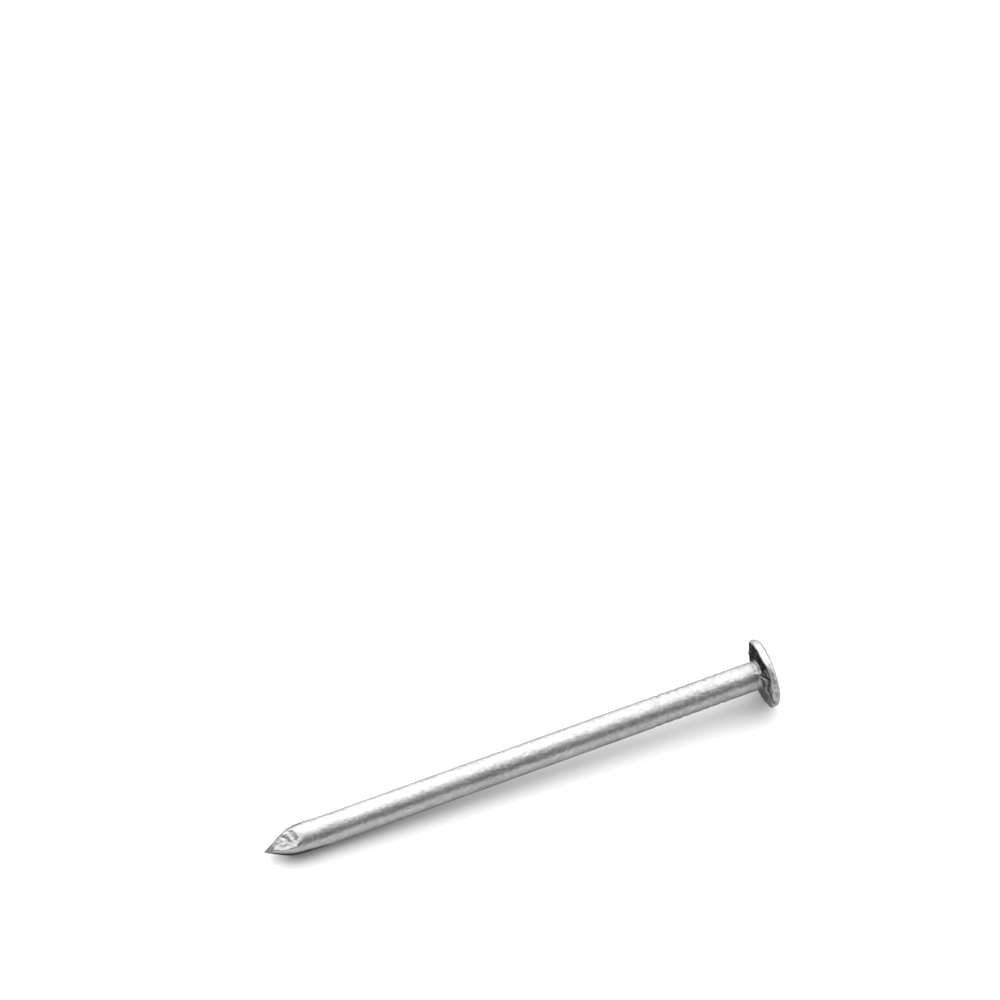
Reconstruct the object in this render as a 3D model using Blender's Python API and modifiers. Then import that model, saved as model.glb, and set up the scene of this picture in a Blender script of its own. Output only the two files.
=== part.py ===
"""A plain steel wire nail: flat round head, grip marks, diamond point.

One piece of drawn wire. The head is forged on one end in a pair of
gripping dies, which leave cross marks on two sides of the shank and a
small fin on each side between them. The other end is sheared to a
four-sided point.

The nail lies along X. The origin is the centre of the striking face,
+X points out of the head, and +Z is up. Units are metres.
"""

from math import cos, pi, radians, sin

import bmesh
import bpy
from mathutils import Matrix, Vector

# Driving dimensions: a 2 inch common nail, gauge 11 1/2.
NAIL_LENGTH = 0.0508  # under the head to the tip
SHANK_DIAMETER = 0.00287
HEAD_DIAMETER = 0.00676
HEAD_THICKNESS = 0.00100

FACE_ROUND = 0.00036  # rounding of the rim at the striking face
UNDER_ROUND = 0.00016  # rounding of the rim under the head
NECK_DIAMETER = 0.00349  # where the flare meets the underside
NECK_LENGTH = 0.00055
NECK_SHARES = (0.35, 0.7, 1.0)  # rings of the flare, along its length

POINT_ROLL = radians(60)  # direction the first sheared facet faces
CUTTER_SIZE = 0.012

DIE_ANGLE = POINT_ROLL + radians(90)  # the first die pressed from here
MARK_COUNT = 9
MARK_FIRST = 0.00350  # first mark, measured from under the head
MARK_PITCH = 0.00096
MARK_DEPTH = 0.00006
MARK_TUBE = 0.00015  # radius of the ring that leaves one mark
MARK_SEGMENTS = 6  # sides of that ring's section
MARK_LEAN = 0.00017  # how far that ring sits off the nail's axis

FIN_LENGTH = 0.00110
FIN_HEIGHT = 0.00040
FIN_THICKNESS = 0.00018
FIN_SLOPE = radians(38)
FIN_ROOT = 0.00024  # middle of the fin, measured from under the head

RING_SEGMENTS = 24
CORNER_STEPS = 3

SHANK_RADIUS = SHANK_DIAMETER / 2
HEAD_RADIUS = HEAD_DIAMETER / 2
TIP_X = -(HEAD_THICKNESS + NAIL_LENGTH)

# Each plane of the point: angle past POINT_ROLL in degrees, how far from
# the tip it meets the shank's surface, and how far off the axis it ends.
# A steep plane cuts the tip, and flatter ones blend it into the shank.
POINT_PLANES = (
    (0, 0.00254, 0.00001),
    (0, 0.00337, 0.00022),
    (90, 0.00268, 0.00002),
    (90, 0.00297, 0.00068),
    (180, 0.00301, 0.00001),
    (180, 0.00358, 0.00043),
    (270, 0.00299, 0.00002),
    (270, 0.00381, 0.00041),
    (270, 0.00660, 0.00100),
    (315, 0.00294, 0.00030),
)


def radial(angle):
    """Unit vector across the nail: 0 faces -Y, a quarter turn is +Z."""
    return Vector((0, -cos(angle), sin(angle)))


def corner(centre_x, centre_r, radius, start, end):
    """Points of a rounded profile corner, as (x, distance from axis)."""
    points = []
    for step in range(CORNER_STEPS + 1):
        angle = radians(start + (end - start) * step / CORNER_STEPS)
        x = centre_x + radius * cos(angle)
        points.append((x, centre_r + radius * sin(angle)))
    return points


def nail_profile():
    """Half outline, from the middle of the face down to the tip end."""
    profile = [(0, 0)]
    profile += corner(
        -FACE_ROUND, HEAD_RADIUS - FACE_ROUND, FACE_ROUND, 0, 90
    )
    profile += corner(
        UNDER_ROUND - HEAD_THICKNESS,
        HEAD_RADIUS - UNDER_ROUND,
        UNDER_ROUND,
        90,
        180,
    )
    profile.append((-HEAD_THICKNESS, NECK_DIAMETER / 2))
    neck_rise = NECK_DIAMETER / 2 - SHANK_RADIUS
    for share in NECK_SHARES:
        x = -HEAD_THICKNESS - NECK_LENGTH * share
        profile.append((x, SHANK_RADIUS + neck_rise * (1 - share) ** 2))
    profile.append((TIP_X, SHANK_RADIUS))
    profile.append((TIP_X, 0))
    return profile


def new_collection(name):
    collection = bpy.data.collections.new(name)
    bpy.context.scene.collection.children.link(collection)
    return collection


def add_object(name, mesh, collection):
    thing = bpy.data.objects.new(name, mesh)
    collection.objects.link(thing)
    return thing


def steel():
    material = bpy.data.materials.new("bright_steel")
    material.use_nodes = True
    shader = material.node_tree.nodes["Principled BSDF"]
    shader.inputs["Base Color"].default_value = (0.45, 0.45, 0.45, 1)
    shader.inputs["Metallic"].default_value = 1.0
    shader.inputs["Roughness"].default_value = 0.32
    return material


def turned_blank(collection):
    """Head, neck and shank as one turned shape about X."""
    mesh = bpy.data.meshes.new("nail")
    shape = bmesh.new()
    verts = [shape.verts.new((x, 0, r)) for x, r in nail_profile()]
    for first, second in zip(verts, verts[1:]):
        shape.edges.new((first, second))
    shape.to_mesh(mesh)
    shape.free()
    nail = add_object("nail", mesh, collection)
    # Turned by half a step, so that a flat side faces down.
    nail.rotation_euler = (pi / RING_SEGMENTS, 0, 0)
    screw = nail.modifiers.new("turn", "SCREW")
    screw.axis = "X"
    screw.steps = RING_SEGMENTS
    screw.render_steps = RING_SEGMENTS
    screw.use_merge_vertices = True
    screw.merge_threshold = 0.00001
    screw.use_normal_calculate = True
    return nail


def block(name, size, matrix, collection):
    """A box cutter, or a box to be joined, placed by a matrix."""
    mesh = bpy.data.meshes.new(name)
    shape = bmesh.new()
    bmesh.ops.create_cube(shape, size=1.0)
    bmesh.ops.scale(shape, vec=size, verts=shape.verts)
    shape.to_mesh(mesh)
    shape.free()
    thing = add_object(name, mesh, collection)
    thing.matrix_world = matrix
    hide(thing)
    return thing


def hide(thing):
    thing.hide_render = True
    thing.display_type = "WIRE"


def combine(target, other, operation):
    boolean = target.modifiers.new(other.name, "BOOLEAN")
    boolean.operation = operation
    boolean.solver = "EXACT"
    boolean.object = other


def facet_cutter(name, angle, reach, offset, collection):
    """A block whose underside is one plane of the point.

    The plane meets the shank's surface `reach` from the tip, and passes
    `offset` off the axis at the tip.
    """
    outward = radial(angle)
    slope = Vector((reach, 0, 0)) + outward * (SHANK_RADIUS - offset)
    slope.normalize()
    side = outward.cross(Vector((1, 0, 0)))
    normal = slope.cross(side)
    if normal.dot(outward) < 0:
        normal.negate()
    tip = Vector((TIP_X, 0, 0)) + outward * offset
    centre = tip + normal * (CUTTER_SIZE / 2)
    turn = Matrix((slope, normal.cross(slope), normal)).transposed()
    matrix = Matrix.Translation(centre) @ turn.to_4x4()
    size = (CUTTER_SIZE * 2, CUTTER_SIZE, CUTTER_SIZE)
    return block(name, size, matrix, collection)


def cut_point(nail, cutters):
    for number, (turn, reach, offset) in enumerate(POINT_PLANES):
        name = f"point_plane_{number}"
        angle = POINT_ROLL + radians(turn)
        cutter = facet_cutter(name, angle, reach, offset, cutters)
        combine(nail, cutter, "DIFFERENCE")


def mark_ring(name, x, angle, cutters):
    """A ring that bites the shank on one side only."""
    reach = SHANK_RADIUS - MARK_DEPTH + MARK_TUBE
    bpy.ops.mesh.primitive_torus_add(
        major_segments=RING_SEGMENTS * 2,
        minor_segments=MARK_SEGMENTS,
        major_radius=reach + MARK_LEAN,
        minor_radius=MARK_TUBE,
    )
    ring = bpy.context.object
    ring.name = name
    for collection in list(ring.users_collection):
        collection.objects.unlink(ring)
    cutters.objects.link(ring)
    place = Vector((x, 0, 0)) - radial(angle) * MARK_LEAN
    ring.matrix_world = (
        Matrix.Translation(place)
        @ Matrix.Rotation(pi / 2, 4, "Y")
        @ Matrix.Rotation(angle, 4, "Z")
    )
    hide(ring)
    return ring


def press_marks(nail, cutters):
    for side in range(2):
        angle = DIE_ANGLE + pi * side
        for number in range(MARK_COUNT):
            x = -HEAD_THICKNESS - MARK_FIRST - MARK_PITCH * number
            ring = mark_ring(f"mark_{side}_{number}", x, angle, cutters)
            combine(nail, ring, "DIFFERENCE")


def raise_fins(nail, cutters):
    """The small webs left under the head where the dies met."""
    for side in range(2):
        angle = DIE_ANGLE + pi / 2 + pi * side
        outward = radial(angle)
        along = Vector((cos(FIN_SLOPE), 0, 0)) + outward * sin(FIN_SLOPE)
        across = along.cross(outward).normalized()
        upright = along.cross(across)
        turn = Matrix((along, across, upright)).transposed().to_4x4()
        root_x = -HEAD_THICKNESS - FIN_ROOT
        place = Vector((root_x, 0, 0)) + outward * SHANK_RADIUS
        matrix = Matrix.Translation(place) @ turn
        size = (FIN_LENGTH, FIN_THICKNESS, FIN_HEIGHT)
        fin = block(f"fin_{side}", size, matrix, cutters)
        combine(nail, fin, "UNION")


def main():
    for thing in list(bpy.data.objects):
        bpy.data.objects.remove(thing)
    parts = new_collection("nail")
    cutters = new_collection("cutters")
    nail = turned_blank(parts)
    raise_fins(nail, cutters)
    press_marks(nail, cutters)
    cut_point(nail, cutters)
    nail.data.materials.append(steel())


main()
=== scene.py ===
"""Looks of the wire nail: one length of bright wire, headed by forging and
sheared.

The nail's surface is a grid of rings along X and points round them.
Each ring starts as a turned outline, and small functions of place and
angle then give it what forging, gripping and shearing leave on a nail.
"""

from math import atan2, cos, exp, log, pi, radians, sin

import bpy
from mathutils import Matrix, Vector, noise


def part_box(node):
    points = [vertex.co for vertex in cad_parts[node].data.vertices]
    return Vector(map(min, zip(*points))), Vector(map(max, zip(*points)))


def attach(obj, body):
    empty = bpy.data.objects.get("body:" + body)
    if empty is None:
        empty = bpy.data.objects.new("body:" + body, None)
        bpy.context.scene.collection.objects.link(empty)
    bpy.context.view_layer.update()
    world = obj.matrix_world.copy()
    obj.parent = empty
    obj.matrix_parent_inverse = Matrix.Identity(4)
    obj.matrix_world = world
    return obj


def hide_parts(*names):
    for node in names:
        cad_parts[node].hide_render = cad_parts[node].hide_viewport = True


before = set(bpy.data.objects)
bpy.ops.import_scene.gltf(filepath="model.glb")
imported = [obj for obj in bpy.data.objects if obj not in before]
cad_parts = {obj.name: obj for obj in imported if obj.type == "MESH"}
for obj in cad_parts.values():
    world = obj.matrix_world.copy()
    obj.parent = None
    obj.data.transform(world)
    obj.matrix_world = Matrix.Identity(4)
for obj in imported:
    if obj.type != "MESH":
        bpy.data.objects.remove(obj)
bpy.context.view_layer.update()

MM = 0.001

# Sizes of the nail, in the frame's own axes.
NODE = "nail"
TIP_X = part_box(NODE)[0].x
HEAD_RADIUS = 3.38 * MM
SHANK_RADIUS = 1.445 * MM
HEAD_THICKNESS = 1.00 * MM
FACE_ROUND = 0.36 * MM
UNDER_ROUND = 0.16 * MM
UNDER_SLOPE = 0.10 * MM
HEAD_TILT = radians(2.4)
HEAD_TILT_ANGLE = radians(225)
NECK_LENGTH = 0.50 * MM
NECK_RISE = 0.15 * MM
BOSS_HEIGHT = 0.26 * MM
POINT_LENGTH = 7.4 * MM

# Directions round the nail: 0 faces -Y, a quarter turn is +Z.
POINT_ROLL = radians(60)
DIE_ANGLE = POINT_ROLL + pi / 2
DIE_ANGLES = (DIE_ANGLE, DIE_ANGLE + pi)
FIN_ANGLES = (DIE_ANGLE + pi / 2, DIE_ANGLE - pi / 2)

MARK_FIRST = 3.50 * MM
MARK_PITCH = 0.96 * MM
MARK_COUNT = 9

SEGMENTS = 144


def radial(angle):
    """Unit vector across the nail."""
    return Vector((0, -cos(angle), sin(angle)))


def angle_between(first, second):
    """Signed difference of two angles, from -pi to pi."""
    return (first - second + pi) % (2 * pi) - pi


def bell(value, width):
    """1 at a value of 0, falling off on both sides."""
    return exp(-((value / width) ** 2))


def ramp(value, start, end):
    """Smooth step from 0 at start to 1 at end."""
    share = min(max((value - start) / (end - start), 0), 1)
    return share * share * (3 - 2 * share)


def soft_min(values, blend):
    """The lowest value, rounded where two of them are nearly equal."""
    low = min(values)
    total = sum(exp((low - value) / blend) for value in values)
    return low - blend * log(total)


def grain(place, size, seed):
    """Smooth noise from about -1 to 1, with features of that size."""
    return noise.noise(place / size + Vector((seed * 7.3, seed * 3.1, seed)))


def relief(place, layer):
    """Height of a layer of unevenness: (height in mm, size in mm, seed)."""
    height, size, seed = layer
    return height * MM * grain(place, size * MM, seed)


def jitter(seed):
    """A fixed number from about -1 to 1 for each seed."""
    value = 2.2 * noise.noise(Vector((seed * 1.37, 0.4, 0.7)))
    return max(-1, min(1, value))


# ---------------------------------------------------------------- head

# Flats and bulges of the rim: angle in degrees, width in radians, and
# depth as a share of the radius.
RIM_FLATS = (
    (0, 0.30, 0.018),
    (137, 0.30, 0.026),
    (-42, 0.25, -0.022),
    (205, 0.30, 0.014),
    (290, 0.20, 0.008),
)

# Layers of unevenness: height in mm, size in mm and seed.
FACE_MOTTLE = (0.010, 0.55, 11)
FACE_SPECKS = (0.005, 0.22, 12)
RIM_WAVES = (0.020, 1.3, 21)
RIM_FOLDS = (0.032, 0.32, 22)
RIM_SWAY = (0.05, 1.0, 23)
RIM_TEARS = (0.038, 0.30, 25)
UNDER_DENTS = (0.070, 0.45, 24)

CROWN = 0.035 * MM
FACE_SINK = 0.012 * MM
RIM_SINK = 0.02 * MM
CREASE_DEPTH = 0.20 * MM
CREASE_WIDTH = 0.14  # in mm
RUGGED_UP_TO = radians(62)


def head_outline(angle):
    """Share of the nominal radius: a head made by forging is never quite
    round.
    """
    share = 1 + 0.007 * cos(2 * angle + 0.6) + 0.004 * cos(3 * angle - 1.0)
    for centre, width, depth in RIM_FLATS:
        share -= depth * bell(angle_between(angle, radians(centre)), width)
    share += 0.003 * grain(radial(angle) * MM, 0.35 * MM, 3)
    return share


def lower_half(r, angle):
    """1 on the side that the lower die shaped, 0 on the other."""
    return ramp(-r * cos(angle - DIE_ANGLE), -0.05 * MM, 0.05 * MM)


# How far out the boss under the head reaches: degrees and mm.
BOSS_EDGE = (
    (-120, 3.4),
    (-12, 3.4),
    (-4, 2.84),
    (10, 2.2),
    (36, 2.7),
    (57, 1.4),
)


def boss_height(r, angle):
    """The lower die left more metal round the neck than the upper one."""
    turn = (angle / pi * 180 + 180) % 360 - 180
    if turn < BOSS_EDGE[0][0] or turn > BOSS_EDGE[-1][0] + 6:
        return 0.0
    reach = BOSS_EDGE[-1][1]
    for (a0, r0), (a1, r1) in zip(BOSS_EDGE, BOSS_EDGE[1:]):
        if a0 <= turn <= a1:
            reach = r0 + (r1 - r0) * (turn - a0) / (a1 - a0)
    height = BOSS_HEIGHT * ramp(HEAD_RADIUS - r, 0, 1.9 * MM)
    height *= ramp(reach * MM - r, -0.10 * MM, 0.10 * MM)
    return height * lower_half(max(r, SHANK_RADIUS), angle)


def edge_recess(r, angle):
    """Where the upper die left the rim thinner."""
    recess = 0.18 * bell(angle_between(angle, radians(48)), 0.28)
    recess += 0.22 * bell(angle_between(angle, radians(180)), 0.70)
    return recess * MM * ramp(r, 1.9 * MM, 3.0 * MM)


# The lap: angle in degrees and radius in mm of its corners.
LAP = ((54, 1.4), (41, 2.2), (35, 2.8), (12, 2.3), (-7, 2.8), (-14, 3.3))


def polar(angle, radius):
    """A place on the head, seen along the nail's axis."""
    return Vector((cos(angle), sin(angle))) * radius


LAP_CORNERS = [polar(radians(degrees), radius) for degrees, radius in LAP]


def crease_share(r, angle):
    """1 in the cold lap that runs from the neck out to the rim."""
    spot = polar(angle, r / MM)
    distances = []
    for start, end in zip(LAP_CORNERS, LAP_CORNERS[1:]):
        along = end - start
        share = (spot - start).dot(along) / along.length_squared
        foot = start + along * min(max(share, 0), 1)
        distances.append((spot - foot).length)
    return bell(min(distances), CREASE_WIDTH)


def rugged_share(angle):
    """1 on the part of the rim that the lower die shaped."""
    return ramp(angle_between(RUGGED_UP_TO, angle), 0, 0.35)


def rim_spots(x, angle):
    """Dark spots painted on the rugged part of the rim: painted shade of pits.
    """
    place = Vector((x, 0, 0)) + radial(angle) * HEAD_RADIUS
    below_face = ramp(-x, 0.10 * MM, 0.25 * MM)
    pits = ramp(grain(place, 0.42 * MM, 26), 0.12, 0.42)
    return rugged_share(angle) * below_face * pits


def askew(x, r, angle):
    """X shift of the head, which sits slightly out of square."""
    fade = ramp(x, -HEAD_THICKNESS - NECK_LENGTH, -HEAD_THICKNESS)
    return fade * HEAD_TILT * r * cos(angle - HEAD_TILT_ANGLE)


def head_dent(x, r, angle):
    """How far a point of the head moves along X and outward."""
    place = Vector((x, 0, 0)) + radial(angle) * r
    rim = ramp(r, HEAD_RADIUS * 0.80, HEAD_RADIUS)
    on_face = ramp(x, -HEAD_THICKNESS * 0.5, -FACE_ROUND * 0.5)
    under = ramp(-x, HEAD_THICKNESS * 0.55, HEAD_THICKNESS * 0.85)
    # Face: a faint crown and the mottle of the forging punch.
    crown = CROWN * (r / HEAD_RADIUS) ** 2
    mottle = relief(place, FACE_MOTTLE) + relief(place, FACE_SPECKS)
    along = -on_face * (crown + FACE_SINK + mottle)
    # Rim: uneven upsetting and small folds across it.
    folds = relief(Vector((x * 0.5, place.y, place.z)), RIM_FOLDS)
    folds += rugged_share(angle) * relief(place, RIM_TEARS)
    outward = rim * (relief(place, RIM_WAVES) + folds - RIM_SINK)
    along += rim * (1 - on_face) * relief(place, RIM_SWAY)
    # Underside: the dies did not meet exactly, so one half stands lower.
    along += under * (edge_recess(r, angle) - boss_height(r, angle))
    along -= under * relief(place, UNDER_DENTS)
    along += under * CREASE_DEPTH * crease_share(r, angle)
    return along + askew(x, r, angle), outward


# --------------------------------------------------------------- shank

MARK_DEPTH = 0.055 * MM
MARK_WIDTH = 0.15 * MM
MARK_REACH = 0.92  # in radians to each side of the die's middle
MARK_SHARE = 0.8
LIP_PLACE = 0.34 * MM  # the low ridge that a mark pushes up beside it
LIP_WIDTH = 0.12 * MM
LIP_SHARE = 0.16

WEB_HEIGHT = 0.12 * MM
WEB_WIDTH = 0.13 * MM
SEAM_HEIGHT = 0.016 * MM
SEAM_WIDTH = 0.085 * MM
SEAM_LENGTH = 11 * MM

# Layers of unevenness: height in mm, size in mm and seed.
FIN_WANDER = (0.05, 0.5, 31)
WIRE_DENTS = (0.022, 0.95, 41)
WIRE_MOTTLE = (0.009, 0.38, 42)

DIE_FLAT = 0.022 * MM
PIT_DEPTH = 0.020 * MM
POINT_SWELL = 0.065 * MM

NICK_COUNT = 26
NICK_DEPTH = 0.022 * MM
NICK_WIDTH = 0.06 * MM


def mark_depth(x, angle):
    """Depth of the gripping dies' cross marks at a place."""
    depth = 0.0
    for side, centre in enumerate(DIE_ANGLES):
        off = angle_between(angle, centre)
        if abs(off) > 1.3:
            continue
        for number in range(MARK_COUNT):
            seed = number + side * 31
            mark_x = -HEAD_THICKNESS - MARK_FIRST - MARK_PITCH * number
            mark_x += 0.05 * MM * jitter(seed + 0.5)
            lean = 0.10 * MM * jitter(seed + 9.5)
            d = x - mark_x - lean * off
            if abs(d) > 0.6 * MM:
                continue
            reach = MARK_REACH + 0.16 * jitter(seed + 4.5)
            strength = MARK_DEPTH * (1 + 0.35 * jitter(seed + 2.5))
            window = ramp(reach - abs(off), 0, 0.60) * MARK_SHARE
            lips = LIP_SHARE * bell(abs(d) - LIP_PLACE, LIP_WIDTH)
            depth += strength * window * (bell(d, MARK_WIDTH) - lips)
    return depth


def fin_height(x, angle):
    """Small webs and seams left under the head between the dies."""
    height = 0.0
    below = -HEAD_THICKNESS - x
    for number, centre in enumerate(FIN_ANGLES):
        off = angle_between(angle, centre) * SHANK_RADIUS
        off += relief(Vector((x, number * MM, 0)), FIN_WANDER)
        web = WEB_HEIGHT * ramp(0.9 * MM - below, 0, 0.8 * MM)
        height += web * bell(off, WEB_WIDTH)
        seam = SEAM_HEIGHT * ramp(SEAM_LENGTH - below, 0, 3 * MM)
        wander = 0.5 + 0.5 * grain(Vector((x, 0, number * MM)), 0.9 * MM, 32)
        height += seam * wander * bell(off, SEAM_WIDTH)
    return height


def wire_radius(x, angle):
    """The drawn wire: nearly round, with the grip of the dies on it."""
    place = Vector((x, 0, 0)) + radial(angle) * SHANK_RADIUS
    gripped = ramp(x, -13 * MM, -11 * MM)
    radius = SHANK_RADIUS
    # The dies leave two faint flats.
    for centre in DIE_ANGLES:
        off = angle_between(angle, centre)
        radius -= gripped * DIE_FLAT * bell(off, 0.42)
    # Dents drawn out along the wire, deeper towards the point.
    dented = 0.35 + 0.65 * ramp(TIP_X + 16 * MM - x, 0, 9 * MM)
    long_place = Vector((x * 0.6, place.y, place.z))
    radius += dented * relief(long_place, WIRE_DENTS)
    radius += relief(Vector((x * 0.9, place.y, place.z)), WIRE_MOTTLE)
    radius -= PIT_DEPTH * max(0, grain(place, 0.42 * MM, 43) - 0.20)
    # Shearing the point pushes the wire out of round just behind it.
    swell = bell(x - TIP_X - 4.4 * MM, 1.7 * MM)
    side = bell(angle_between(angle, POINT_ROLL + radians(90)), 1.0)
    radius += POINT_SWELL * swell * side
    return radius - mark_depth(x, angle)


def neck_radius(x, angle):
    """Flare from the shank to the underside of the head."""
    below = -HEAD_THICKNESS - x
    share = min(max(below / NECK_LENGTH, 0), 1)
    flare = NECK_RISE * (1 - share) ** 2.4
    flare *= 1 - 0.40 * cos(2 * (angle - DIE_ANGLE))
    return flare + fin_height(x, angle)


def neck_shift(x, angle):
    """The boss pushes the start of the neck down the shank."""
    share = ramp(-HEAD_THICKNESS - x, 0, 1.1 * MM)
    return -boss_height(SHANK_RADIUS, angle) * (1 - share)


def nick_depth(x, angle):
    """A few knocks from lying loose with other nails."""
    depth = 0.0
    for number in range(NICK_COUNT):
        nick_x = -(13.0 + 33.0 * (0.5 + 0.5 * jitter(number + 70.3))) * MM
        nick_angle = pi * (1 + jitter(number * 1.9 + 80.7))
        turn = jitter(number + 90.1) * 1.4
        d_x = x - nick_x
        if abs(d_x) > 0.6 * MM:
            continue
        d_s = angle_between(angle, nick_angle) * SHANK_RADIUS
        along = d_x * cos(turn) + d_s * sin(turn)
        across = d_s * cos(turn) - d_x * sin(turn)
        size = (0.22 + 0.10 * jitter(number + 60.2)) * MM
        depth += NICK_DEPTH * bell(along, size) * bell(across, NICK_WIDTH)
    return depth


# --------------------------------------------------------------- point

# Turn from POINT_ROLL in degrees, outline in mm from the tip and from
# the axis, how torn the facet is, and how dark its painted shade is.
FACETS = (
    (10, ((0, 0.01), (1.05, 0.59), (3.5, 1.38)), 1.0, 0.0),
    (90, ((0, 0.02), (2.4, 1.29), (3.3, 1.52), (4.4, 1.62)), 0.25, 1.0),
    (180, ((0, 0.01), (2.2, 1.05), (3.7, 1.47)), 1.0, 0.0),
    (270, ((0, 0.02), (1.9, 0.92), (2.9, 1.19), (7.6, 1.50)), 0.15, 0.8),
    (-45, ((0, 0.03), (1.6, 0.92), (2.9, 1.42), (3.6, 1.55)), 0.0, 0.0),
)

# The dish that tearing leaves in a sheared facet: middle and half sizes,
# from the tip and across.
DISH_MIDDLE = (2.20 * MM, -0.08 * MM)
DISH_SIZE = (1.25 * MM, 0.93 * MM)
DISH_DEPTH = 0.115 * MM
BURR_HEIGHT = 0.030 * MM

# The tearing runs in rings round a place near the tip.
TEAR_START = 1.5 * MM
TEAR_RING = 0.75 * MM
TEAR_HEIGHT = 0.055 * MM

FACET_BLEND = 0.05 * MM  # rounding of the bends in one facet
EDGE_BLEND = 0.022 * MM  # rounding of the edges between facets
MASK_BLEND = 0.07 * MM  # softness of the masks at those edges
# The painted shade of a dark facet spreads over its edges; this sets how far.
SHADE_SPREAD = 2.4  # how far a dark facet's smear reaches over its edges


def facet_width(s, knots):
    """Distance of a facet from the axis, s from the tip.

    The knots are corners of its outline, which bends inward at each.
    """
    lines = []
    for (s0, w0), (s1, w1) in zip(knots, knots[1:]):
        lines.append(w0 + (w1 - w0) * (s / MM - s0) / (s1 - s0))
    return soft_min(lines, FACET_BLEND / MM) * MM


def shear_relief(s, side, seed):
    """Torn and dragged metal on a sheared facet, outward positive."""
    place = Vector((s, side, 0))
    warp = relief(place, (0.16, 0.6, seed))
    reach = ((s - TEAR_START) ** 2 + side**2) ** 0.5 + warp
    away = ramp(s, 1.6 * MM, 2.3 * MM)
    waves = away * TEAR_HEIGHT * sin(2 * pi * reach / TEAR_RING - 1.78)
    tears = relief(place, (0.038, 0.36, seed + 1))
    fine = relief(place, (0.012, 0.15, seed + 2))
    return waves + tears + fine


def dish_share(s, side):
    """0 in the middle of the dish, 1 on its rim, more outside.

    The dish runs out over the facet's upper edge.
    """
    along = (s - DISH_MIDDLE[0]) / DISH_SIZE[0]
    across = (side - DISH_MIDDLE[1]) / DISH_SIZE[1]
    if across > 0:
        across *= 0.5
    return (along * along + across * across) ** 0.5


def dished(s, side, width):
    """A sheared facet's distance from the axis, and how torn it is.

    The blade cuts clean at the tip, then tears out a dish with a burr
    round its near edge.
    """
    share = dish_share(s, side)
    inside = ramp(1.06 - share, 0, 0.16)
    inside *= 1 - 0.6 * ramp(side, 0.7 * MM, 1.0 * MM)
    dish = ramp(1 - share, 0, 0.42) * ramp(3.7 * MM - s, 0, 1.4 * MM)
    burr = bell(share - 1.02, 0.07) * ramp(2.6 * MM - s, 0, MM)
    width += BURR_HEIGHT * burr - DISH_DEPTH * dish
    width += 0.22 * side * ramp(1.0 * MM - s, -0.1 * MM, 0.3 * MM)
    return width, inside


def point_radius(x, angle, base):
    """The four-sided point cut into the wire.

    Returns the radius, how torn the metal is and how dark its painted shade
    is.
    """
    s = x - TIP_X
    if s > POINT_LENGTH:
        return base, 0.0, 0.0
    values = [base]
    roughs = [0.0]
    darks = [0.0]
    for number, (turn, knots, rough, painted_facet_shade) in enumerate(FACETS):
        off = angle_between(angle, POINT_ROLL + radians(turn))
        if abs(off) > radians(75):
            continue
        width = facet_width(s, knots)
        side = width * sin(off) / cos(off)
        if rough == 1.0:
            width, inside = dished(s, side, width)
        else:
            inside = ramp(s, 0.9 * MM, 1.2 * MM)
            inside *= ramp(3.9 * MM - s, 0, MM)
        width += rough * inside * shear_relief(s, side, 51 + 5 * number)
        values.append(max(width, 0.004 * MM) / cos(off))
        roughs.append(rough * inside)
        # Painted shade on a torn facet outside its dish, and on the dark
        # facets.
        painted_outer_shade = rough * (1 - inside) * 0.30
        darks.append((painted_facet_shade + painted_outer_shade) * ramp(7.0 * MM - s, 0, 3.2 * MM))
    radius = soft_min(values, EDGE_BLEND)
    low = min(values)
    # A little of a dark facet's painted shade spreads over its edges.
    shares = []
    for value, dark in zip(values, darks):
        shares.append(exp((low - value) / MASK_BLEND + SHADE_SPREAD * dark))
    total = sum(shares)
    torn = sum(a * b for a, b in zip(shares, roughs)) / total
    dark = sum(a * b for a, b in zip(shares, darks)) / total
    return min(radius, base), torn, dark


# ---------------------------------------------------------------- grid


def spread(start, end, step):
    """Evenly spaced values from start towards end, without the end."""
    count = max(1, round(abs(end - start) / step))
    return [start + (end - start) * i / count for i in range(count)]


def head_rows():
    """The turned outline of the head: (x, radius) from the face down."""
    rows = []
    for r in spread(0.10 * MM, HEAD_RADIUS - FACE_ROUND, 0.11 * MM):
        rows.append((0.0, r))
    for angle in spread(0, 90, 10):
        a = radians(angle)
        rows.append(
            (
                FACE_ROUND * (cos(a) - 1),
                HEAD_RADIUS - FACE_ROUND * (1 - sin(a)),
            )
        )
    under_x = UNDER_ROUND + UNDER_SLOPE - HEAD_THICKNESS
    for x in spread(-FACE_ROUND, under_x, 0.055 * MM):
        rows.append((x, HEAD_RADIUS))
    for angle in spread(0, 90, 9):
        a = radians(angle)
        rows.append(
            (
                under_x - UNDER_ROUND * sin(a),
                HEAD_RADIUS - UNDER_ROUND * (1 - cos(a)),
            )
        )
    inner = SHANK_RADIUS + NECK_RISE
    outer = HEAD_RADIUS - UNDER_ROUND
    for r in spread(outer, inner, 0.05 * MM):
        share = (outer - r) / (outer - inner)
        slope = UNDER_SLOPE * (1 - share) ** 1.5
        rows.append((slope - HEAD_THICKNESS, r))
    return rows


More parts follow.
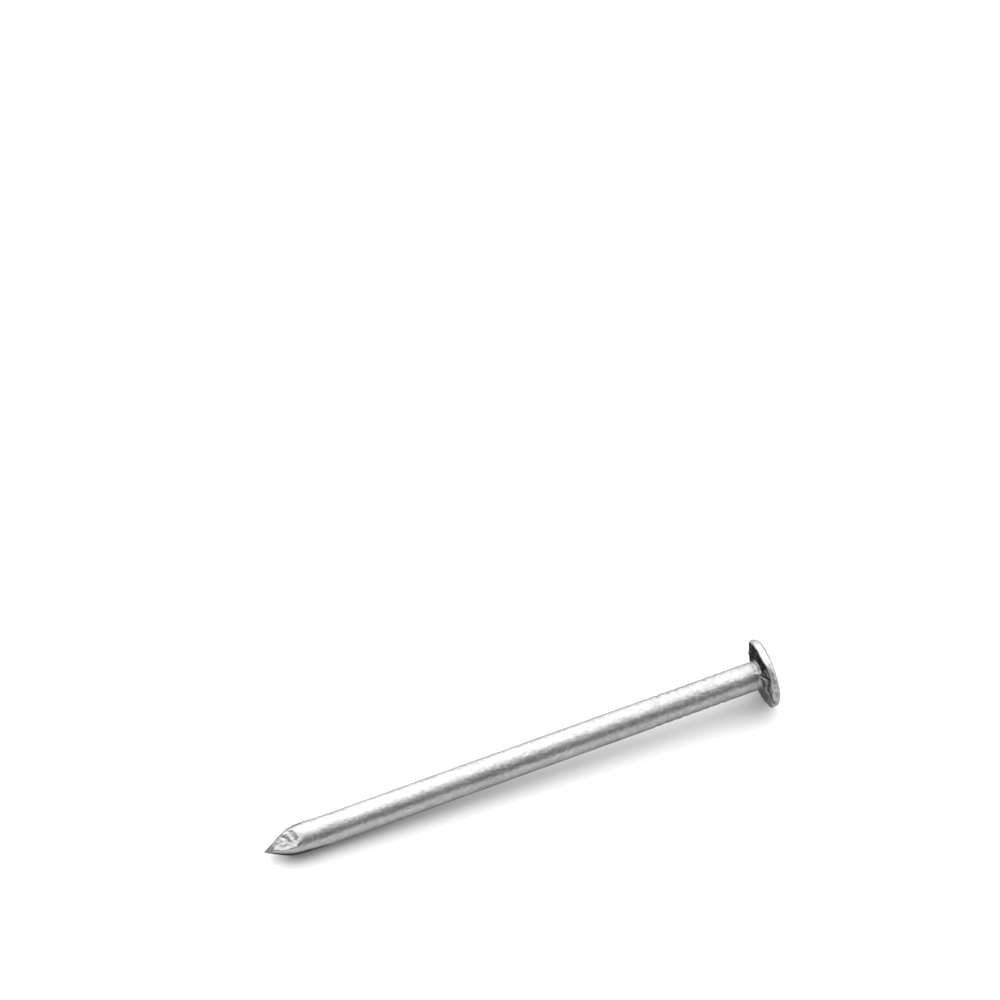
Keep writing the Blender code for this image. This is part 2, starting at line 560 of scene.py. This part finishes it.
def shank_rows():
    """Places of the rings from under the head to just short of the tip."""
    neck_end = -HEAD_THICKNESS - NECK_LENGTH
    marks_start = -HEAD_THICKNESS - MARK_FIRST + 0.5 * MM
    marks_end = marks_start - MARK_PITCH * MARK_COUNT - 0.5 * MM
    rows = spread(-HEAD_THICKNESS, neck_end, 0.045 * MM)
    rows += spread(neck_end, marks_start, 0.13 * MM)
    rows += spread(marks_start, marks_end, 0.050 * MM)
    rows += spread(marks_end, TIP_X + POINT_LENGTH, 0.15 * MM)
    rows += spread(TIP_X + POINT_LENGTH, TIP_X + 0.03 * MM, 0.040 * MM)
    return rows


# Shares stored at each point, which the steel's material reads.
MASKS = ("punched", "torn", "painted_groove_shade", "forged", "painted_rim_highlight")
NECK_SHADE_WANDER = (0.15, 0.5, 27)  # wander of the dark ring round the neck


def head_point(x, r, angle):
    """A point of the head, and its masks."""
    shape = 1 + (head_outline(angle) - 1) * (r / HEAD_RADIUS) ** 2
    along, outward = head_dent(x, r, angle)
    spot = Vector((x + along, 0, 0)) + radial(angle) * (r * shape + outward)
    on_face = ramp(x, -0.12 * MM, -0.02 * MM)
    # The underside is painted dark inside its edge, least so on the lower
    # half: painted shade under the head.
    under = ramp(-x, HEAD_THICKNESS * 0.78, HEAD_THICKNESS * 0.86)
    low = lower_half(r, angle)
    low *= ramp(angle_between(angle, radians(240)), 0.2, 1.2)
    reach = HEAD_RADIUS - (0.16 + 0.55 * low) * MM
    dark = under * ramp(reach - r, 0, 0.12 * MM) * (1 - 0.55 * low)
    # Painted shade in the lap.
    crease = under * crease_share(r, angle)
    # The painted shade mask of the head: underside, lap and rim spots.
    forged = max(dark, crease, 0.6 * rim_spots(x, angle))
    # Painted highlight: the band round the rim is painted lighter.
    painted_rim_highlight = ramp(r, HEAD_RADIUS - 0.22 * MM, HEAD_RADIUS - 0.02 * MM)
    return spot, (on_face, 0.0, crease, forged, painted_rim_highlight)


def shank_point(x, angle):
    """A point of the neck, the shank or the point, and its masks."""
    base = wire_radius(x, angle) - nick_depth(x, angle)
    base += neck_radius(x, angle)
    radius, torn, painted_facet_shade = point_radius(x, angle, base)
    shift = askew(x, radius, angle) + neck_shift(x, angle)
    spot = Vector((x + shift, 0, 0)) + radial(angle) * radius
    # Painted shade in the grip marks.
    painted_groove_shade = ramp(mark_depth(x, angle), 0.02 * MM, 0.08 * MM)
    # Painted shade: a dark ring round the neck under the head, lighter on the
    # lower half.
    below = -HEAD_THICKNESS - x + relief(radial(angle) * MM, NECK_SHADE_WANDER)
    dark = 0.8 * ramp(0.48 * MM - below, 0, 0.20 * MM)
    dark *= 1 - 0.5 * lower_half(SHANK_RADIUS, angle)
    # The neck ring and the dark point facets go into the painted shade mask.
    return spot, (0.0, torn, painted_groove_shade, max(dark, painted_facet_shade), 0.0)


def grid_faces(rings):
    """Faces between the rings, and a fan from a point at each end."""
    faces = []
    for ring in range(rings - 1):
        a = ring * SEGMENTS
        b = a + SEGMENTS
        for i in range(SEGMENTS):
            j = (i + 1) % SEGMENTS
            faces.append((a + i, a + j, b + j, b + i))
    face_middle = rings * SEGMENTS
    tip = face_middle + 1
    last = face_middle - SEGMENTS
    for i in range(SEGMENTS):
        j = (i + 1) % SEGMENTS
        faces.append((face_middle, j, i))
        faces.append((tip, last + i, last + j))
    return faces


def build_nail():
    """The nail as one closed mesh, with its masks."""
    angles = [2 * pi * i / SEGMENTS for i in range(SEGMENTS)]
    points = []
    for x, r in head_rows():
        points += [head_point(x, r, angle) for angle in angles]
    for x in shank_rows():
        points += [shank_point(x, angle) for angle in angles]
    faces = grid_faces(len(points) // SEGMENTS)
    face_x = sum(spot.x for spot, _ in points[:SEGMENTS]) / SEGMENTS
    points.append((Vector((face_x, 0, 0)), (1.0, 0.0, 0.0, 0.0, 0.0)))
    points.append((Vector((TIP_X, 0, 0)), (0.0, 0.0, 0.0, 0.0, 0.0)))
    mesh = bpy.data.meshes.new("wire_nail")
    mesh.from_pydata([tuple(spot) for spot, _ in points], [], faces)
    mesh.update()
    for index, name in enumerate(MASKS):
        layer = mesh.attributes.new(name, "FLOAT", "POINT")
        layer.data.foreach_set("value", [m[index] for _, m in points])
    mesh.shade_smooth()
    nail = bpy.data.objects.new("wire_nail", mesh)
    bpy.context.scene.collection.objects.link(nail)
    return nail


# ----------------------------------------------------------- materials


class Nodes:
    """Short names for adding and joining shader nodes."""

    def __init__(self, tree):
        self.tree = tree

    def add(self, kind, **settings):
        node = self.tree.nodes.new(kind)
        for name, value in settings.items():
            setattr(node, name, value)
        return node

    def join(self, source, target):
        self.tree.links.new(source, target)

    def noise(self, place, scale, detail=2.0, rough=0.5):
        node = self.add("ShaderNodeTexNoise")
        node.inputs["Scale"].default_value = scale
        node.inputs["Detail"].default_value = detail
        node.inputs["Roughness"].default_value = rough
        self.join(place, node.inputs["Vector"])
        return node.outputs["Fac"]

    def stretch(self, place, factors):
        node = self.add("ShaderNodeMapping")
        node.inputs["Scale"].default_value = factors
        self.join(place, node.inputs["Vector"])
        return node.outputs["Vector"]

    def remap(self, value, low, high, to_low, to_high):
        node = self.add("ShaderNodeMapRange")
        node.inputs["From Min"].default_value = low
        node.inputs["From Max"].default_value = high
        node.inputs["To Min"].default_value = to_low
        node.inputs["To Max"].default_value = to_high
        self.join(value, node.inputs["Value"])
        return node.outputs["Result"]

    def math(self, operation, first, second):
        node = self.add("ShaderNodeMath", operation=operation)
        for socket, value in zip(node.inputs, (first, second)):
            if isinstance(value, (int, float)):
                socket.default_value = value
            else:
                self.join(value, socket)
        return node.outputs[0]

    def mix(self, share, first, second):
        """first where share is 0, second where it is 1."""
        rest = self.math("SUBTRACT", 1.0, share)
        one = self.math("MULTIPLY", rest, first)
        two = self.math("MULTIPLY", share, second)
        return self.math("ADD", one, two)

    def grey(self, value):
        node = self.add("ShaderNodeCombineColor")
        for name in ("Red", "Green", "Blue"):
            self.join(value, node.inputs[name])
        return node.outputs["Color"]

    def mask(self, name):
        node = self.add("ShaderNodeAttribute", attribute_name=name)
        return node.outputs["Fac"]

    def bump(self, height, distance, before=None):
        node = self.add("ShaderNodeBump")
        node.inputs["Strength"].default_value = 1.0
        node.inputs["Distance"].default_value = distance
        self.join(height, node.inputs["Height"])
        if before is not None:
            self.join(before, node.inputs["Normal"])
        return node.outputs["Normal"]


# How bright the steel is where a mask is 1, as a share of bare wire.
TONE_SHARES = (
    ("punched", 0.85),
    ("torn", 0.78),
    # painted highlight round the rim
    ("painted_rim_highlight", 1.22),
    # painted shade: underside, neck ring, lap, rim spots and dark point facets
    ("forged", 0.28),
    # painted shade in the grip marks and the lap
    ("painted_groove_shade", 0.35),
)
EDGE_TINT = 0.58  # brightness at a glancing angle
# Glancing brightness inside the painted shade.
DARK_EDGE_TINT = 0.15

# Heights of the fine surface.
PIT_BUMP = 0.042 * MM
LINE_BUMP = 0.004 * MM
GRAIN_BUMP = 0.013 * MM


def bright_steel():
    """Bright drawn steel, tumbled: satin, grainy, matt on the head."""
    material = bpy.data.materials.new("bright_steel")
    material.use_nodes = True
    n = Nodes(material.node_tree)
    shader = material.node_tree.nodes["Principled BSDF"]
    shader.inputs["Metallic"].default_value = 1.0
    coords = n.add("ShaderNodeTexCoord")
    # From here on, places are in mm.
    place = n.stretch(coords.outputs["Object"], (1000, 1000, 1000))
    masks = {name: n.mask(name) for name in MASKS}

    # Pits and draw lines run along the wire, so those are stretched.
    pits = n.noise(n.stretch(place, (0.8, 1.0, 1.0)), 4.0, 3.0, 0.6)
    lines = n.noise(n.stretch(place, (0.10, 1.0, 1.0)), 9.0, 2.0, 0.6)
    fine = n.noise(place, 11.0, 2.0, 0.5)
    cloud = n.noise(place, 0.55, 2.0, 0.5)
    blotch = n.noise(place, 2.4, 3.0, 0.6)

    # Bare wire: cloudy, and a little darker towards the head.
    tone = n.remap(cloud, 0.3, 0.7, 0.34, 0.39)
    parts = n.add("ShaderNodeSeparateXYZ")
    n.join(place, parts.inputs[0])
    head_end_darkening = n.remap(parts.outputs["X"], -42, -8, 1.0, 0.88)
    tone = n.math("MULTIPLY", tone, head_end_darkening)
    tone = n.math("ADD", tone, n.remap(fine, 0.3, 0.7, -0.04, 0.04))
    tone = n.math("ADD", tone, n.remap(blotch, 0.3, 0.7, -0.05, 0.05))
    # The masks paint shade into the colour, and a highlight round the rim.
    for name, share in TONE_SHARES:
        tone = n.mix(masks[name], tone, n.math("MULTIPLY", tone, share))
    n.join(n.grey(tone), shader.inputs["Base Color"])
    # The painted shade also dulls the glancing reflection.
    tint = n.mix(masks["forged"], EDGE_TINT, DARK_EDGE_TINT)
    n.join(n.grey(tint), shader.inputs["Specular Tint"])

    rough = n.remap(pits, 0.3, 0.7, 0.29, 0.40)
    matt = n.remap(pits, 0.3, 0.7, 0.45, 0.60)
    rough = n.mix(masks["punched"], rough, matt)
    rough = n.mix(masks["torn"], rough, n.remap(fine, 0.3, 0.7, 0.24, 0.40))
    n.join(rough, shader.inputs["Roughness"])

    normal = n.bump(pits, PIT_BUMP)
    normal = n.bump(lines, LINE_BUMP, normal)
    normal = n.bump(fine, GRAIN_BUMP, normal)
    n.join(normal, shader.inputs["Normal"])
    return material


def white_floor():
    """A plain matt white."""
    material = bpy.data.materials.new("white_table")
    material.use_nodes = True
    shader = material.node_tree.nodes["Principled BSDF"]
    shader.inputs["Base Color"].default_value = (0.67, 0.67, 0.67, 1)
    shader.inputs["Roughness"].default_value = 0.9
    shader.inputs["Specular IOR Level"].default_value = 0.1
    return material


# --------------------------------------------------------------- stage

# The nail lies on the head's rim and on the shank just behind the point.
REST_X = TIP_X + 4.0 * MM
DROP = HEAD_RADIUS - SHANK_RADIUS
RUN = -0.5 * MM - REST_X
FLOOR_TILT = atan2(DROP, RUN)
FLOOR_TURN = Matrix.Rotation(FLOOR_TILT, 4, "Y")

# The table's outline: distance from the nail and height, in metres. It
# sweeps up far away, so that no view from low down looks past its edge,
# except towards +Y, where the tent behind it is as white as the table.
SWEEP = ((1.45, 0), (1.55, 0.003), (1.62, 0.015), (1.67, 0.045), (1.70, 0.14))
SWEEP_SEGMENTS = 96


def build_floor():
    """The table that the nail lies on, with its sweep."""
    verts = []
    faces = [tuple(range(SWEEP_SEGMENTS))]
    for reach, height in SWEEP:
        for i in range(SWEEP_SEGMENTS):
            a = 2 * pi * i / SWEEP_SEGMENTS
            lift = height * (1 - ramp(sin(a), 0.4, 0.85))
            verts.append((reach * cos(a), reach * sin(a), lift))
    for ring in range(len(SWEEP) - 1):
        for i in range(SWEEP_SEGMENTS):
            j = (i + 1) % SWEEP_SEGMENTS
            a = ring * SWEEP_SEGMENTS
            b = a + SWEEP_SEGMENTS
            faces.append((a + i, b + i, b + j, a + j))
    mesh = bpy.data.meshes.new("table")
    mesh.from_pydata(verts, [], faces)
    mesh.materials.append(white_floor())
    mesh.shade_smooth()
    floor = bpy.data.objects.new("table", mesh)
    bpy.context.scene.collection.objects.link(floor)
    gap = 0.02 * MM
    rest = Vector((REST_X, 0, -SHANK_RADIUS - gap))
    floor.matrix_world = Matrix.Translation(rest) @ FLOOR_TURN


# Where the camera stands, seen from the floor: azimuth 0 looks along +Y.
CAMERA_AZIMUTH = radians(-22.6)
CAMERA_ELEVATION = radians(49.5)
CAMERA_LENS = 150
CAMERA_DISTANCE = 0.3947
AIM_SIDE = 1.86 * MM
AIM_UP = 24.66 * MM


def build_camera():
    """The nail sits low in the frame, so the aim is above its middle."""
    data = bpy.data.cameras.new("camera")
    data.lens = CAMERA_LENS
    data.sensor_width = 36
    data.clip_start = 0.01
    data.clip_end = 10
    camera = bpy.data.objects.new("camera", data)
    bpy.context.scene.collection.objects.link(camera)
    a, e = CAMERA_AZIMUTH, CAMERA_ELEVATION
    back = Vector((sin(a) * cos(e), -cos(a) * cos(e), sin(e)))
    back = FLOOR_TURN.to_3x3() @ back
    right = FLOOR_TURN.to_3x3() @ Vector((cos(a), sin(a), 0))
    up = back.cross(right)
    turn = Matrix((right, up, back)).transposed().to_4x4()
    middle = Vector((TIP_X / 2, 0, 0))
    aim = middle - right * AIM_SIDE + up * AIM_UP
    camera.matrix_world = (
        Matrix.Translation(aim + back * CAMERA_DISTANCE) @ turn
    )
    bpy.context.scene.camera = camera


# Brightness of the tent against the cosine of the angle to its lamp.
LAMP_SIDE = (-0.08, 0.62, 0.78)
TENT = (
    (-1.0, 0.08),
    (-0.1, 0.14),
    (0.2, 0.42),
    (0.45, 1.05),
    (0.67, 2.3),
    (0.85, 3.3),
    (1.0, 3.5),
)
SIDE_LIGHT = 3.0


def studio_light():
    """A white tent, brightest above and behind, dim in front."""
    world = bpy.data.worlds.new("studio")
    bpy.context.scene.world = world
    world.use_nodes = True
    n = Nodes(world.node_tree)
    sky = world.node_tree.nodes["Background"]
    coords = n.add("ShaderNodeTexCoord")
    toward = coords.outputs["Generated"]
    lamp = n.add("ShaderNodeVectorMath", operation="DOT_PRODUCT")
    n.join(toward, lamp.inputs[0])
    lamp.inputs[1].default_value = LAMP_SIDE
    ramp_node = n.add("ShaderNodeValToRGB")
    shades = ramp_node.color_ramp
    top = TENT[-1][1]
    for number, (cosine, level) in enumerate(TENT):
        position = (cosine + 1) / 2
        if number == 0:
            stop = shades.elements[0]
        elif number == len(TENT) - 1:
            stop = shades.elements[-1]
        else:
            stop = shades.elements.new(position)
        stop.position = position
        stop.color = (level / top,) * 3 + (1,)
    share = n.remap(lamp.outputs["Value"], -1, 1, 0, 1)
    n.join(share, ramp_node.inputs["Fac"])
    tent = n.math("MULTIPLY", ramp_node.outputs["Color"], top)
    parts = n.add("ShaderNodeSeparateXYZ")
    n.join(toward, parts.inputs[0])
    right = n.remap(parts.outputs["X"], 0.35, 0.8, 0, 1)
    high = n.remap(parts.outputs["Z"], 0.05, 0.4, 0, SIDE_LIGHT)
    front = n.remap(parts.outputs["Y"], 0.4, 0.0, 0, 1)
    side = n.math("MULTIPLY", n.math("MULTIPLY", right, high), front)
    sky.inputs["Color"].default_value = (1, 1, 1, 1)
    n.join(n.math("ADD", tent, side), sky.inputs["Strength"])


nail = build_nail()
nail.data.materials.append(bright_steel())
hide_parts(NODE)
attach(nail, "root")
build_floor()
build_camera()
studio_light()
bpy.context.scene.view_settings.view_transform = "Standard"
